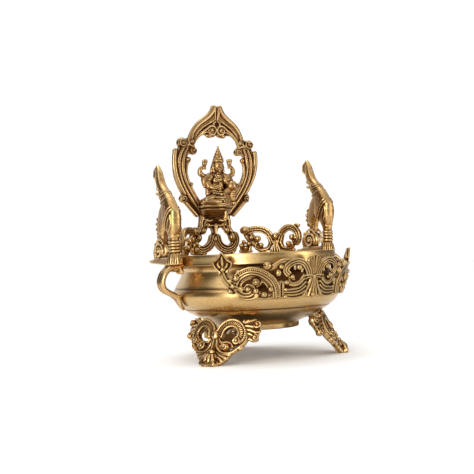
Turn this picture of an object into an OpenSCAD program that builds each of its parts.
// Brass urli bowl with a turned bowl on three scroll feet, two elephants on strap handles,
// an openwork front apron, openwork back galleries and an arched shrine with a seated figure.

/* [Bowl] */
// outer diameter of the flat rim band
rim_d = 184; // [150:1:220]
// height of the rim's top face above the floor
rim_z = 116.5; // [100:0.5:140]
// height of the plain rim band
band_h = 10.5; // [8:0.5:14]
// largest diameter of the belly
belly_d = 189.6; // [160:0.2:230]
// height of the belly's widest line
belly_z = 72.4; // [66:0.2:80]
// smallest outer diameter of the neck
neck_d = 169; // [140:1:200]
// height of the neck's narrowest line
neck_z = 98; // [90:0.5:102]
// height of the bowl's underside
base_z = 38.5; // [35:0.5:42]
// wall thickness of the casting
wall = 3; // [2:0.25:4]
// inner diameter of the rim flange
flange_id = 158; // [130:1:168]
// thickness of the rim flange
flange_t = 4; // [3:0.25:5]
// outer diameter of the ring under the bowl
ring_d = 95; // [80:1:105]
// height of the ring under the bowl
ring_h = 6; // [4:0.5:8]
// radius of the two turned grooves
groove_r = 0.7; // [0.4:0.1:1]
// height of the upper turned groove
groove_high_z = 79.5; // [77:0.5:84]
// height of the lower turned groove
groove_low_z = 56.5; // [52:0.5:62]

/* [Feet] */
// angle that the three feet are turned from the front
leg_turn = -5; // [-15:1:15]
// radius at which the legs meet the floor
toe_r = 97; // [90:1:105]
// radius at which the legs meet the belly
hip_r = 74; // [70:1:78]
// height at which the legs meet the belly
hip_z = 50; // [47:0.5:53]
// thickness of the openwork leg
leg_t = 6.5; // [5:0.5:8]
// width across the two scrolls of a leg
leg_w = 78; // [66:1:88]
// length of the toe past the leg
toe_l = 10; // [6:0.5:13]
// width of the toe
toe_w = 16; // [12:1:20]
// height of the toe
toe_h = 8; // [6:0.5:10]
// radius of the foot bolt circle
foot_bolt_r = 62; // [60:0.5:64]
// thickness of the foot's bolt tab
tab_t = 4; // [3:0.5:5]
// height of the face that the tab bolts to
tab_z = 40; // [39:0.25:41]

/* [Handles] */
// angle that the handles and elephants are turned
handle_turn = -3; // [-8:1:8]
// height of the right seat plate's top
seat_z = 113; // [110:0.5:115]
// how much lower the left handle and elephant sit
left_drop = 6; // [0:0.5:6]
// outer reach of the seat plate's tip from the bowl's axis
seat_reach = 123; // [116:1:134]
// thickness of the seat plate
seat_t = 4; // [3:0.5:5]
// width of the seat plate
seat_w = 20; // [16:1:26]
// width of the strap
strap_w = 16; // [12:1:20]
// thickness of the strap
strap_t = 4; // [3:0.5:5]
// middle radius of the strap's C bend
strap_r = 16; // [13:0.5:17]
// outer reach of the strap's bend from the bowl's axis
strap_reach = 117; // [112:0.5:120]

/* [Elephants] */
// height of an elephant from its foot to its raised trunk
ele_h = 115.5; // [95:0.5:130]
// distance of an elephant's middle plane from the bowl's axis
ele_x = 101.5; // [101.5:0.5:105]
// thickness of an elephant's body
ele_t = 17; // [14:0.5:19]
// length of the elephant's base bar
ele_base_l = 62; // [52:1:68]
// thickness of the elephant's base bar
ele_base_t = 5; // [4:0.5:6]

/* [Apron] */
// angle that the front apron is turned
apron_turn = 4; // [-10:1:10]
// radius of the apron's middle surface at its foot
apron_r = 97.5; // [97:0.5:101]
// lean of the apron away from the bowl
apron_lean = 11; // [6:1:15]
// thickness of the apron's castings
apron_t = 4.5; // [3.5:0.5:6]
// height of the apron's lower edge
apron_z = 70; // [68:0.5:73]
// height of the palmette above the apron's lower edge
palmette_h = 43; // [36:0.5:46]
// radius of the big side scrolls
big_scroll_r = 20; // [17:0.5:22]

/* [Galleries] */
// radius of the circle on which the galleries and the arch stand
gallery_r = 85.5; // [84:0.25:87]
// height of the galleries above the rim
gallery_h = 34; // [28:0.5:40]
// thickness of the galleries
gallery_t = 5; // [4:0.5:6]
// angle from the back to the middle of a gallery
gallery_angle = 48; // [46:1:50]

/* [Arch] */
// height of the arch above the rim
arch_h = 184; // [150:1:210]
// greatest width of the arch
arch_w = 124; // [100:1:140]
// sideways lean of the arch
arch_lean = 4; // [0:0.5:5]
// thickness of the arch
arch_t = 7; // [5:0.5:9]
// width of the arch's band
arch_band = 14; // [10:0.5:17]
// height of the scrolled base of the arch
arch_base_h = 46; // [40:0.5:52]
// radius of the arch base's two scrolls
base_scroll_r = 11.5; // [10:0.5:12.5]

/* [Shrine] */
// radius of the half-round lotus seat
lotus_r = 25; // [20:0.5:28]
// height of the lotus seat
lotus_h = 13; // [10:0.5:16]
// depth of the lotus seat in front of the arch
lotus_d = 22; // [18:0.5:24]
// height of the seated figure
figure_h = 72; // [60:0.5:80]

/* [Fasteners] */
// diameter of the large screws
bolt_d = 4; // [3:0.25:4.5]
// diameter of the small screws
screw_d = 3; // [2.5:0.25:3.5]
// added to a screw's diameter for its clearance hole
hole_gap = 0.4; // [0.2:0.05:0.6]
// height of the domed screw heads
head_h = 2.4; // [1.8:0.1:3]

/* [Hidden] */
$fn = 72;
rim_r = rim_d / 2;
belly_r = belly_d / 2;
neck_r = neck_d / 2;
ring_r = ring_d / 2;
band_z = rim_z - band_h;
flange_ir = flange_id / 2;
steps = 14;
eps = 0.01;
big = 400;
bolt_hole_d = bolt_d + hole_gap;
screw_hole_d = screw_d + hole_gap;
bolt_head_d = bolt_d * 2;
screw_head_d = screw_d * 2;
pad_d = bolt_head_d + 3;
washer_t = 0.8;
nut_h = 3.2;
leg_rise = atan2(hip_z, toe_r - hip_r);
leg_l = norm([hip_z, toe_r - hip_r]);
leg_angles = [leg_turn - 60, leg_turn + 60, leg_turn + 180];
strap_x = strap_reach - strap_r - strap_t / 2;
handle_screw_z = band_z - 2;
ele_screw_y = 15;
ele_k = ele_h / 115.5;
pad_in = 3;
hole_reach = 16;
apron_screw_angles = [-36, 0, 36];

function smooth(t) = t * t * (3 - 2 * t);
function lower(rb, zb, rr, zr) = [for (i = [0:steps])
    let (s = 1 - i / steps) [rb - (rb - rr) * s * s, zb - (zb - zr) * s]];
function upper(rb, zb, rn, zn) = [for (i = [1:steps])
    let (s = i / steps) [rb + (rn - rb) * smooth(s), zb + (zn - zb) * s]];
function flare(rn, zn, ro, zo) = [for (i = [1:6])
    let (s = i / 6) [rn + (ro - rn) * pow(s, 2.4), zn + (zo - zn) * s]];
function rev(v) = [for (i = [len(v) - 1:-1:0]) v[i]];
function catmull(a, b, c, d, t) = 0.5 * (2 * b + (c - a) * t + (2 * a - 5 * b + 4 * c - d) * t * t
    + (3 * b - a - 3 * c + d) * t * t * t);
function curve(p, n = 5) = [for (i = [0:len(p) - 2], k = [0:n - 1])
    catmull(p[max(i - 1, 0)], p[i], p[i + 1], p[min(i + 2, len(p) - 1)], k / n)];
function mirrored(p) = [for (q = rev(p)) [-q[0], q[1]]];

outer_wall = concat(lower(belly_r, belly_z, ring_r, base_z), upper(belly_r, belly_z, neck_r, neck_z),
    flare(neck_r, neck_z, rim_r - 1, band_z));
inner_wall = concat(lower(belly_r - wall, belly_z, ring_r, base_z + wall),
    upper(belly_r - wall, belly_z, neck_r - wall, neck_z),
    flare(neck_r - wall, neck_z, rim_r - wall, band_z + 2));

// half outline of the arch's outer edge, as parts of its half width and height
arch_outer = [[0, 0.985], [0.07, 1], [0.17, 0.965], [0.33, 0.9], [0.56, 0.83], [0.72, 0.765],
    [0.84, 0.7], [0.93, 0.64], [0.97, 0.56], [0.93, 0.48], [0.8, 0.38], [0.6, 0.29], [0.36, 0.21]];
// half outline of the arch's opening, as parts of its half width and height
arch_inner = [[0, 0.8], [0.1, 0.795], [0.3, 0.81], [0.52, 0.755], [0.62, 0.7], [0.7, 0.61],
    [0.7, 0.53], [0.62, 0.44], [0.46, 0.36], [0.2, 0.325], [0, 0.32]];

// flat sector ring with its middle at radius r
module arc2(r, w, a0, a1) {
  intersection() {
    difference() {
      circle(r + w / 2);
      circle(r - w / 2);
    }
    polygon(concat([[0, 0]], [for (i = [0:12])
      let (a = a0 + (a1 - a0) * i / 12) (r + w) * 1.2 * [cos(a), sin(a)]]));
  }
}

// scroll band with two raised ribs
module ribbed_arc(r, w, a0, a1, t) {
  linear_extrude(t) arc2(r, w, a0, a1);
  translate([0, 0, t / 2]) linear_extrude(t / 2 + 1) {
    arc2(r + w * 0.27, w * 0.24, a0 + 3, a1 - 3);
    arc2(r - w * 0.27, w * 0.24, a0 + 3, a1 - 3);
  }
}

// round knob standing on a scroll
module knob(x, y, r, t) {
  translate([x, y, 0]) rotate_extrude() polygon([[0, 0], [r, 0], [r, t], [r * 0.85, t],
    [r * 0.8, t + r * 0.25], [r * 0.6, t + r * 0.42], [r * 0.3, t + r * 0.5], [0, t + r * 0.5]]);
}

// flat web that ties a knob to the scroll beside it
module web(a, b, w, t) {
  translate([a[0], a[1], 0]) rotate([0, 0, atan2(b[1] - a[1], b[0] - a[0])]) linear_extrude(t)
    translate([0, -w / 2]) square([norm(b - a), w]);
}

// turns a drawing in the XY plane upright at radius r, facing outward at angle a from the front
module on_wall(a, r, z, lean = 0) {
  rotate([0, 0, a]) translate([0, -r, z]) rotate([90 + lean, 0, 0]) children();
}

// the same, standing at the back and facing the front
module at_back(a) {
  rotate([0, 0, -a]) translate([0, gallery_r, rim_z]) rotate([90, 0, 0]) children();
}

// turned ellipsoid with its long axis upright
module egg(r, h) {
  rotate_extrude() polygon([for (i = [0:16]) let (a = -90 + 180 * i / 16) [r * cos(a), h / 2 * sin(a)]]);
}

// straight round bar between two points
module bar(a, b, r0, r1) {
  d = b - a;
  translate(a) rotate([0, acos(d[2] / norm(d)), atan2(d[1], d[0])]) cylinder(h = norm(d), r1 = r0, r2 = r1);
}

// domed screw standing on the XY plane with its shank down
module screw(d, l) {
  translate([0, 0, -l]) cylinder(h = l, d = d);
  intersection() {
    translate([0, 0, -d]) sphere(d + head_h);
    cylinder(h = head_h, r = d);
  }
}

// outside of the bowl with its bosses, used to seat every casting against it
module bowl_outside() {
  rotate_extrude() polygon(concat([[0, base_z]], outer_wall,
    [[rim_r, band_z + 1], [rim_r, rim_z], [0, rim_z]]));
  translate([0, 0, base_z - ring_h]) cylinder(h = ring_h + eps, r = ring_r);
  for (a = leg_angles) rotate([0, 0, a])
    translate([0, -foot_bolt_r, tab_z]) cylinder(h = belly_z - tab_z, d = pad_d);
}

module bowl_inside() {
  rotate_extrude() polygon(concat([[0, base_z + wall]], inner_wall,
    [[rim_r - wall, rim_z - flange_t], [flange_ir, rim_z - flange_t], [flange_ir, rim_z + 1], [0, rim_z + 1]]));
}

// side 0 is the right, side 1 the left
module side(s) {
  rotate([0, 0, handle_turn]) mirror([s, 0, 0]) children();
}

// places of the handle screws, pointing outward
module at_handle_screws() {
  for (s = [0, 1]) side(s) {
    translate([neck_r - wall - 1, 0, handle_screw_z]) rotate([0, 90, 0]) children();
    translate([belly_r - wall - pad_in, 0, belly_z]) rotate([0, 90, 0]) children();
  }
}

// places of the apron screws, pointing outward
module at_apron_screws() {
  for (a = apron_screw_angles) rotate([0, 0, apron_turn + a - 90])
    translate([belly_r - wall - pad_in, 0, belly_z]) rotate([0, 90, 0]) children();
}

// places of the gallery screws: angles from the back
gallery_screw_angles = [-gallery_angle - 13, -gallery_angle + 12, gallery_angle - 12, gallery_angle + 13];
arch_screw_angle = 14;

module bowl() {
  color("goldenrod") difference() {
    union() {
      difference() {
        bowl_outside();
        bowl_inside();
        translate([0, 0, base_z - ring_h - 1]) cylinder(h = ring_h + 1, r = ring_r - wall - 1.5);
        for (g = [[groove_low_z, belly_z - base_z], [groove_high_z, neck_z - belly_z]])
          rotate_extrude() translate([g[0] < belly_z
            ? belly_r - (belly_r - ring_r) * pow((belly_z - g[0]) / g[1], 2)
            : belly_r + (neck_r - belly_r) * smooth((g[0] - belly_z) / g[1]), g[0]]) circle(groove_r);
      }
      // pads that seat the screw heads inside
      for (a = leg_angles) rotate([0, 0, a]) translate([0, -foot_bolt_r, base_z + wall + 6])
        cylinder(h = 4, d = pad_d);
      intersection() {
        bowl_outside();
        union() {
          at_handle_screws() cylinder(h = pad_in + wall, d = pad_d - 1);
          at_apron_screws() cylinder(h = pad_in + wall, d = pad_d - 1);
        }
      }
    }
    for (a = leg_angles) rotate([0, 0, a]) {
      translate([0, -foot_bolt_r, 0]) cylinder(h = belly_z, d = bolt_hole_d);
      translate([0, -foot_bolt_r, base_z + wall + 10]) cylinder(h = belly_z, d = pad_d + 1);
    }
    at_handle_screws() translate([0, 0, -1]) cylinder(h = hole_reach, d = bolt_hole_d);
    at_apron_screws() translate([0, 0, -1]) cylinder(h = hole_reach, d = bolt_hole_d);
    for (a = gallery_screw_angles) at_back(a) rotate([90, 0, 0]) translate([0, 0, -1])
      cylinder(h = 8, d = screw_hole_d);
    for (a = [-arch_screw_angle, arch_screw_angle]) at_back(a) rotate([90, 0, 0]) translate([0, 0, -1])
      cylinder(h = 8, d = screw_hole_d);
  }
}

// openwork of one leg, drawn flat with the floor at y = 0
module leg_openwork() {
  k = leg_w / 78;
  t = leg_t;
  for (s = [-1, 1]) {
    translate([s * 18 * k, 35, 0]) ribbed_arc(14 * k, 8 * k, -30, 270, t);
    knob(s * 34 * k, 45, 4.6, t);
    knob(s * 12 * k, 28, 4.2, t);
    knob(s * 25 * k, 32, 3.6, t);
    knob(s * 20 * k, 18, 4.4, t);
    linear_extrude(t) polygon([[0, 24], [s * 8 * k, 24], [s * 24 * k, 22], [s * 13 * k, 9], [s * 7, 0], [0, 0]]);
    linear_extrude(t + 1) polygon([[s * 4, 20], [s * 7, 20], [s * 6, 3], [s * 4, 3]]);
    linear_extrude(t + 1) polygon([[s * 10, 20], [s * 14, 19], [s * 9.5, 6], [s * 8, 6]]);
  }
  knob(0, 34, 5, t);
  linear_extrude(t + 1.5) polygon([[-4, 33], [4, 33], [1.6, 16], [-1.6, 16]]);
}

module foot(a) {
  color("darkgoldenrod") difference() {
    union() {
      rotate([0, 0, a]) {
        intersection() {
          translate([0, -toe_r, 0]) rotate([leg_rise, 0, 0]) translate([0, 0, -leg_t]) leg_openwork();
          translate([-big / 2, -big / 2, 0]) cube([big, big, hip_z + 6]);
        }
        // toe resting on the floor
        translate([0, -toe_r - toe_l + toe_w / 2, 0]) cylinder(h = toe_h * 0.6, d = toe_w);
        translate([0, -toe_r - toe_l + toe_w / 2, toe_h * 0.6]) sphere(toe_h * 0.6);
        translate([-toe_w / 2, -toe_r - toe_l + toe_w / 2, 0]) cube([toe_w, toe_l * 0.9, toe_h * 0.7]);
        // bolt tab under the bowl
        translate([0, -foot_bolt_r, tab_z - tab_t]) cylinder(h = tab_t, d = pad_d + 2);
        translate([-pad_d / 2, -hip_r - 1, tab_z - tab_t]) cube([pad_d, hip_r - foot_bolt_r + 1, tab_t]);
      }
    }
    bowl_outside();
    rotate([0, 0, a]) translate([0, -foot_bolt_r, 0]) {
      cylinder(h = belly_z, d = bolt_hole_d);
      cylinder(h = tab_z - tab_t, d = pad_d + 3);
    }
  }
}

module foot_front_left() {
  foot(leg_angles[0]);
}

module foot_front_right() {
  foot(leg_angles[1]);
}

module foot_back() {
  foot(leg_angles[2]);
}

module foot_screws() {
  color("khaki") for (a = leg_angles) rotate([0, 0, a])
    translate([0, -foot_bolt_r, base_z + wall + 10]) screw(bolt_d, base_z + wall + 10 - tab_z + tab_t + nut_h + 2.5);
}

module foot_washers() {
  color("gray") for (a = leg_angles) rotate([0, 0, a])
    translate([0, -foot_bolt_r, tab_z - tab_t - washer_t]) difference() {
      cylinder(h = washer_t, d = bolt_head_d + 1);
      translate([0, 0, -1]) cylinder(h = washer_t + 2, d = bolt_hole_d);
    }
}

module foot_nuts() {
  color("silver") for (a = leg_angles) rotate([0, 0, a])
    translate([0, -foot_bolt_r, tab_z - tab_t - washer_t - nut_h]) difference() {
      cylinder(h = nut_h, d = bolt_head_d, $fn = 6);
      translate([0, 0, -1]) cylinder(h = nut_h + 2, d = bolt_d);
    }
}

// one handle on the right side, lowered by drop
module handle(drop) {
  top = seat_z - drop;
  cz = top - strap_r - seat_t / 2 - 1;
  // strap bent to a C, with three reeds
  translate([strap_x, strap_w / 2, cz]) rotate([90, 0, 0]) {
    linear_extrude(strap_w) arc2(strap_r, strap_t, -108, 110);
    for (i = [0:2]) translate([0, 0, strap_w * (i + 0.5) / 3 - strap_w * 0.11])
      linear_extrude(strap_w * 0.22) arc2(strap_r + strap_t * 0.6, strap_t * 0.4, -100, 70);
  }
  // tail lying on the belly
  translate([belly_r - 6, -strap_w / 2, belly_z - 10]) cube([12, strap_w, cz - strap_r - belly_z + 12]);
  // seat plate under the elephant
  translate([0, 0, top - seat_t]) linear_extrude(seat_t) {
    translate([neck_r, -seat_w / 2]) square([seat_reach - seat_w / 2 - neck_r, seat_w]);
    translate([seat_reach - seat_w / 2, 0]) circle(seat_w / 2);
    translate([neck_r + 4, -2]) square([ele_x + ele_t / 2 - neck_r - 4, seat_w / 2 + 16]);
  }
  // block around the upper screw
  translate([neck_r - 4, -strap_w / 2, cz + strap_r * 0.4]) cube([19, strap_w, top - cz - strap_r * 0.4]);
}

module handle_on(s) {
  color("goldenrod") difference() {
    side(s) handle(left_drop * s);
    bowl_outside();
    at_handle_screws() cylinder(h = hole_reach, d = bolt_d);
    side(s) translate([ele_x, ele_screw_y, belly_z]) cylinder(h = rim_z - belly_z, d = screw_hole_d);
  }
}

module handle_right() {
  handle_on(0);
}

module handle_left() {
  handle_on(1);
}

module handle_screws() {
  color("khaki") at_handle_screws() mirror([0, 0, 1]) screw(bolt_d, hole_reach);
}

// one elephant on the right side facing +Y, its foot on the XY plane
module elephant() {
  k = ele_k;
  t = ele_t;
  // base bar and fluted rear foot
  translate([-t / 2, -9 * k, 0]) cube([t, (ele_base_l - 3) * k, ele_base_t]);
  cylinder(h = 12 * k, r1 = t * 0.5, r2 = t * 0.42);
  for (i = [0:3]) translate([0, 0, (13.2 + i * 2.9) * k]) cylinder(h = 2 * k, r = t * 0.43);
  cylinder(h = 40 * k, r = t * 0.37);
  // rump, body, neck and head
  translate([0, -2 * k, 46 * k]) rotate([-14, 0, 0]) egg(t * 0.56, 42 * k);
  translate([0, 13 * k, 58 * k]) rotate([-38, 0, 0]) egg(t * 0.6, 56 * k);
  translate([0, 22 * k, 80 * k]) rotate([-20, 0, 0]) egg(t * 0.53, 27 * k);
  // raised trunk with its curled tip
  bar([0, 24 * k, 82 * k], [0, 31 * k, 103 * k], t * 0.4, t * 0.33);
  translate([0, 33 * k, 108.2 * k]) sphere(7.3 * k);
  translate([0, 42 * k, 103 * k]) sphere(5.4 * k);
  // ears
  translate([-t * 0.5 - 0.6, 15 * k, 74 * k]) rotate([0, 90, 0]) cylinder(h = t + 1.2, r = 7 * k);
  // front legs and the scroll that they rest on
  bar([0, 28 * k, 58 * k], [0, 42 * k, 40 * k], t * 0.36, t * 0.3);
  translate([-t / 2 + 1, 37 * k, 18 * k]) rotate([90, 0, 90]) linear_extrude(t - 2) arc2(11 * k, 7 * k, -60, 250);
  translate([-t / 2 + 1.5, 37 * k, 18 * k]) rotate([0, 90, 0]) cylinder(h = t - 3, r = 4.5 * k);
  translate([-t / 2 + 1.5, 37 * k, 14 * k]) cube([t - 3, 9 * k, 8 * k]);
  translate([-t / 2 + 2, 24 * k, 1]) cube([t - 4, 24 * k, 9 * k]);
  translate([-t / 2 + 2, 37 * k, 29 * k]) cube([t - 4, 9 * k, 16 * k]);
}

module elephant_on(s) {
  color("peru") difference() {
    side(s) translate([ele_x, 0, seat_z - left_drop * s]) elephant();
    bowl_outside();
    side(s) translate([ele_x, ele_screw_y, rim_z - band_h - left_drop]) cylinder(h = 20, d = screw_d);
  }
}

module elephant_right() {
  elephant_on(0);
}

module elephant_left() {
  elephant_on(1);
}

module elephant_screws() {
  color("khaki") for (s = [0, 1]) side(s)
    translate([ele_x, ele_screw_y, seat_z - seat_t - left_drop * s]) mirror([0, 0, 1]) screw(screw_d, seat_t + 3.5);
}

// one half of the apron, to +X of the palmette; each motif is flat and stands on its own facet
module apron_half() {
  t = apron_t;
  k = palmette_h / 43;
  at_apron(14.5) {
    translate([0, 29 * k, 0]) ribbed_arc(10.5 * k, 5, -50, 200, t);
    knob(1, 32 * k, 4, t);
    knob(-6, 27 * k, 3, t);
    web([1, 32 * k], [9, 35 * k], 4, t - 1);
    web([-6, 27 * k], [-10.5, 27 * k], 4, t - 1);
    web([-9.5, 25 * k], [-17, 15 * k], 4.5, t - 1);
    web([6.5, 21.5 * k], [10.5, 14 * k], 4.5, t - 1);
    translate([-4, 19 * k, 0]) ribbed_arc(15 * k, 6, 195, 330, t);
    linear_extrude(t) translate([8, 2]) square([4, 14 * k]);
    linear_extrude(t) translate([13, 2]) square([3, 14 * k]);
    linear_extrude(t - 1) translate([-8, 1]) square([24, 5]);
  }
  at_apron(24) {
    knob(5, 31 * k, 3.6, t);
    knob(-2, 27 * k, 3.4, t);
    web([-2, 27 * k], [6, 31.5 * k], 4, t - 1);
    linear_extrude(t) polygon([[-10, 38 * k], [-8, 42 * k], [8, 33 * k], [6, 28 * k]]);
  }
  at_apron(37) {
    translate([0, 9, 0]) ribbed_arc(big_scroll_r * k, 7, -28, 205, t);
    translate([5, 9, 0]) ribbed_arc(9.5, 5, 150, 330, t);
    knob(-2, 18, 3.8, t);
    knob(6, 11, 3.6, t);
    knob(-5, 7, 3, t);
    knob(-12, 4, 3.4, t);
    knob(-18, 8, 3.4, t);
    knob(19, 19, 3.4, t);
    web([-2, 18], [-3.5, 13.5], 4, t - 1);
    web([6, 11], [6, 1], 4, t - 1);
    web([-13, 24 * k], [-17, 31 * k], 4.5, t - 1);
    linear_extrude(t - 1) translate([-20, 0]) square([38, 5]);
  }
  at_apron(52) {
    linear_extrude(t) polygon([[-8, 1], [-2, 2], [4, 12], [7, 22], [11, 33], [3, 38], [-2, 34], [-1, 24], [-7, 14], [-12, 6]]);
    knob(4, 32, 4.4, t);
    knob(-6, 8, 3.6, t);
  }
}

// places a flat motif on the apron at angle a from the palmette
module at_apron(a) {
  on_wall(a, apron_r, apron_z, apron_lean) translate([0, 0, -apron_t / 2]) children();
}

module apron() {
  t = apron_t;
  k = palmette_h / 43;
  color("darkgoldenrod") difference() {
    rotate([0, 0, apron_turn]) {
      apron_half();
      mirror([1, 0, 0]) apron_half();
      at_apron(0) {
        translate([0, 36 * k, 0]) cylinder(h = t, r = 8 * k);
        linear_extrude(t) polygon([[-7, 38 * k], [7, 38 * k], [3.5, 25 * k], [-3.5, 25 * k]]);
        linear_extrude(t) polygon([[-4, 26 * k], [4, 26 * k], [9, 2], [3, -1], [-3, -1], [-9, 2]]);
        for (x = [-4, -1.5, 1.5, 4]) translate([0, 0, t / 2]) linear_extrude(t / 2 + 1)
          polygon([[x * 0.5 - 0.4, 27 * k], [x * 0.5 + 0.4, 27 * k], [x * 1.4 + 0.6, 40 * k], [x * 1.4 - 0.6, 40 * k]]);
      }
      // bosses that stand off the belly behind the apron
      for (a = apron_screw_angles) rotate([0, 0, a - 90]) translate([belly_r - 2, 0, belly_z]) rotate([0, 90, 0])
        cylinder(h = apron_r - belly_r + 3, d = pad_d);
    }
    bowl_outside();
    at_apron_screws() cylinder(h = hole_reach - 4, d = bolt_d);
  }
}

module apron_screws() {
  color("khaki") at_apron_screws() mirror([0, 0, 1]) screw(bolt_d, hole_reach - 4);
}

// one back gallery panel, drawn flat around its own middle
module gallery_half(s) {
  t = gallery_t;
  k = gallery_h / 34;
  at_back(s * gallery_angle) translate([0, 0, -t / 2]) {
    knob(0, 17 * k, 3.4, t);
    linear_extrude(t) polygon([[-1.5, 16 * k], [1.5, 16 * k], [5, 0], [-5, 0]]);
  }
}

module gallery_scroll(a, m) {
  t = gallery_t;
  k = gallery_h / 34;
  at_back(a) mirror([m, 0, 0]) translate([0, 0, -t / 2]) {
    translate([0, 17 * k, 0]) ribbed_arc(13 * k, 7, -70, 190, t);
    knob(10, 11 * k, 4, t);
    knob(4, 7 * k, 3.6, t);
    linear_extrude(t) translate([-6, 0]) square([20, 5]);
  }
}

module gallery(s) {
  t = gallery_t;
  k = gallery_h / 34;
  color("darkgoldenrod") difference() {
    union() {
      gallery_scroll(s * (gallery_angle - 12), s > 0 ? 1 : 0);
      gallery_scroll(s * (gallery_angle + 13), s > 0 ? 0 : 1);
      gallery_half(s);
      at_back(s * (gallery_angle - 25)) translate([0, 0, -t / 2]) {
        knob(0, 30 * k, 4.6, t);
        linear_extrude(t) translate([-7, 24 * k]) square([14, 6]);
        knob(s * 2, 7, 5, t);
      }
    }
    for (a = gallery_screw_angles) at_back(a) rotate([90, 0, 0]) translate([0, 0, -6])
      cylinder(h = 6 + eps, d = screw_d);
  }
}

module gallery_right() {
  gallery(1);
}

module gallery_left() {
  gallery(-1);
}

module gallery_screws() {
  color("khaki") for (a = gallery_screw_angles) at_back(a) translate([0, -flange_t, 0]) rotate([90, 0, 0])
    screw(screw_d, flange_t + 5);
}

// arch with its scrolled base, drawn flat with the rim at y = 0
module arch_drawing() {
  t = arch_t;
  hw = arch_w / 2;
  bk = arch_base_h / 46;
  outer = [for (p = curve(arch_outer)) [p[0] * hw, p[1] * arch_h]];
  inner = [for (p = curve(arch_inner)) [p[0] * hw, p[1] * arch_h]];
  foot = [[0.36 * hw, 0.21 * arch_h], [0, 0.21 * arch_h]];
  difference() {
    linear_extrude(t) polygon(concat(outer, foot, mirrored(concat(outer, foot))));
    translate([0, 0, -1]) linear_extrude(t + 2) polygon(concat(inner, mirrored(inner)));
  }
  // volutes on the band
  for (s = [-1, 1]) {
    knob(s * 0.1 * hw, 0.84 * arch_h, 7, t);
    knob(s * 0.79 * hw, 0.745 * arch_h, 6.5, t);
    knob(s * 0.6 * hw, 0.71 * arch_h, 4.5, t);
    knob(s * 0.66 * hw, 0.46 * arch_h, 4, t);
    knob(s * 0.84 * hw, 0.365 * arch_h, 4.5, t);
    // scrolled base
    translate([s * 17, base_scroll_r * bk + 3, 0])
      ribbed_arc(base_scroll_r * bk, 7, s > 0 ? 140 : -220, s > 0 ? 400 : 40, t);
    knob(s * 21, 19 * bk, 6, t);
    knob(s * 17, 33 * bk, 6, t);
    linear_extrude(t) polygon([[0, 46 * bk], [s * 24, 44 * bk], [s * 26, 22 * bk], [s * 15, 22 * bk], [0, 32 * bk]]);
    linear_extrude(t) translate([s * 17 - 6, 0]) square([12, 6]);
  }
  linear_extrude(t + 1) polygon([[-5, 42 * bk], [5, 42 * bk], [2.5, 17 * bk], [-2.5, 17 * bk]]);
  linear_extrude(t) polygon([[-9, 28 * bk], [9, 28 * bk], [6, 16 * bk], [-6, 16 * bk]]);
}

module arch_frame() {
  color("goldenrod") difference() {
    at_back(0) rotate([0, 0, -arch_lean]) translate([0, 0, -arch_t / 2]) arch_drawing();
    translate([-big / 2, -big / 2, 0]) cube([big, big, rim_z]);
    for (a = [-arch_screw_angle, arch_screw_angle]) at_back(a) rotate([90, 0, 0]) translate([0, 0, -6])
      cylinder(h = 6 + eps, d = screw_d);
    at_seat_screw() translate([0, 0, -big / 4]) cylinder(h = big / 2, d = screw_hole_d);
  }
}

module arch_screws() {
  color("khaki") for (a = [-arch_screw_angle, arch_screw_angle]) at_back(a) translate([0, -flange_t, 0])
    rotate([90, 0, 0]) screw(screw_d, flange_t + 5);
}

// place of the seat on the front face of the arch's waist
module at_seat() {
  at_back(0) rotate([0, 0, -arch_lean]) translate([0, arch_base_h, arch_t / 2]) children();
}

module at_seat_screw() {
  at_seat() translate([0, lotus_h * 0.5 - 1, 0]) children();
}

// half-round lotus seat: a dished bracket standing out from the arch
module lotus_seat() {
  color("peru") difference() {
    at_seat() intersection() {
      rotate([-90, 0, 0]) union() {
        cylinder(h = lotus_h * 0.7, r1 = lotus_r * 0.62, r2 = lotus_r);
        translate([0, 0, lotus_h * 0.7]) cylinder(h = lotus_h * 0.3, r = lotus_r);
        translate([0, 0, lotus_h * 0.7]) rotate_extrude() translate([lotus_r - 0.8, 0]) circle(1.6);
      }
      translate([-lotus_r - 3, -1, 0]) cube([2 * lotus_r + 6, lotus_h + 2, lotus_d]);
    }
    at_seat_screw() translate([0, 0, -1]) cylinder(h = lotus_d * 0.5, d = screw_d);
    at_figure_screw() translate([0, 0, -lotus_h - 2]) cylinder(h = lotus_h + 4, d = screw_hole_d);
  }
}

module seat_screw() {
  color("khaki") at_seat_screw() translate([0, 0, -arch_t]) mirror([0, 0, 1]) screw(screw_d, 1);
  color("khaki") at_seat_screw() translate([0, 0, -arch_t]) cylinder(h = arch_t + lotus_d * 0.5 - 2, d = screw_d);
}

// place of the figure's screw on top of the seat
module at_figure_screw() {
  at_seat() translate([0, lotus_h, lotus_d * 0.62]) rotate([-90, 0, 0]) children();
}

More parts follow.
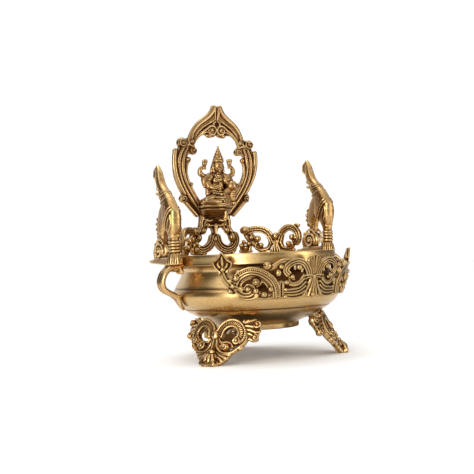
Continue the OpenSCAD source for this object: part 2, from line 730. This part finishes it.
// seated figure on the XY plane, facing -Y
module figure() {
  k = figure_h / 72;
  // crossed legs and raised knee
  translate([0, 0, 5 * k]) scale(1) rotate([0, 90, 0]) egg(5.5 * k, 40 * k);
  translate([-12 * k, -5 * k, 4.5 * k]) sphere(5 * k);
  bar([4 * k, -2 * k, 6 * k], [14 * k, -5 * k, 22 * k], 5 * k, 4.6 * k);
  translate([14 * k, -5 * k, 22 * k]) sphere(5 * k);
  bar([14 * k, -5 * k, 22 * k], [12 * k, -6 * k, 4 * k], 4 * k, 3 * k);
  // drape
  bar([3 * k, -6 * k, 1], [3 * k, -4 * k, 16 * k], 6 * k, 3.4 * k);
  // hips, chest, neck, head and crown
  translate([0, 1 * k, 14 * k]) egg(11 * k, 24 * k);
  translate([0, 1 * k, 29 * k]) egg(10.5 * k, 28 * k);
  translate([0, 1 * k, 38 * k]) cylinder(h = 8 * k, r = 3.6 * k);
  translate([0, 0, 49 * k]) egg(6.6 * k, 17 * k);
  translate([0, 0, 54 * k]) cylinder(h = 11 * k, r1 = 7 * k, r2 = 3 * k);
  translate([0, 0, 65 * k]) cylinder(h = 7 * k, r1 = 2.6 * k, r2 = 0.8 * k);
  for (s = [-1, 1]) {
    // raised rear arms holding buds
    bar([s * 9 * k, 1 * k, 37 * k], [s * 20 * k, 1 * k, 38 * k], 4 * k, 3.4 * k);
    translate([s * 20 * k, 1 * k, 38 * k]) sphere(3.5 * k);
    bar([s * 20 * k, 1 * k, 38 * k], [s * 18 * k, 0, 52 * k], 3.3 * k, 2.6 * k);
    translate([s * 17.5 * k, 0, 55 * k]) sphere(4.2 * k);
    // front arms resting on the lap
    bar([s * 9 * k, 0, 34 * k], [s * 14 * k, -3 * k, 24 * k], 4.2 * k, 3.6 * k);
    translate([s * 14 * k, -3 * k, 24 * k]) sphere(3.7 * k);
    bar([s * 14 * k, -3 * k, 24 * k], [s * 7 * k, -9 * k, 26 * k], 3.5 * k, 2.8 * k);
  }
}

module seated_figure() {
  color("peru") difference() {
    at_figure_screw() figure();
    at_figure_screw() translate([0, 0, -big / 4]) cylinder(h = big / 4, r = big / 8);
    at_figure_screw() translate([0, 0, -1]) cylinder(h = 9, d = screw_d);
  }
}

module figure_screw() {
  color("khaki") at_figure_screw() translate([0, 0, -lotus_h]) mirror([0, 0, 1]) screw(screw_d, lotus_h + 7);
}

bowl();
foot_front_left();
foot_front_right();
foot_back();
foot_screws();
foot_washers();
foot_nuts();
handle_right();
handle_left();
handle_screws();
elephant_right();
elephant_left();
elephant_screws();
apron();
apron_screws();
gallery_right();
gallery_left();
gallery_screws();
arch_frame();
arch_screws();
lotus_seat();
seat_screw();
seated_figure();
figure_screw();
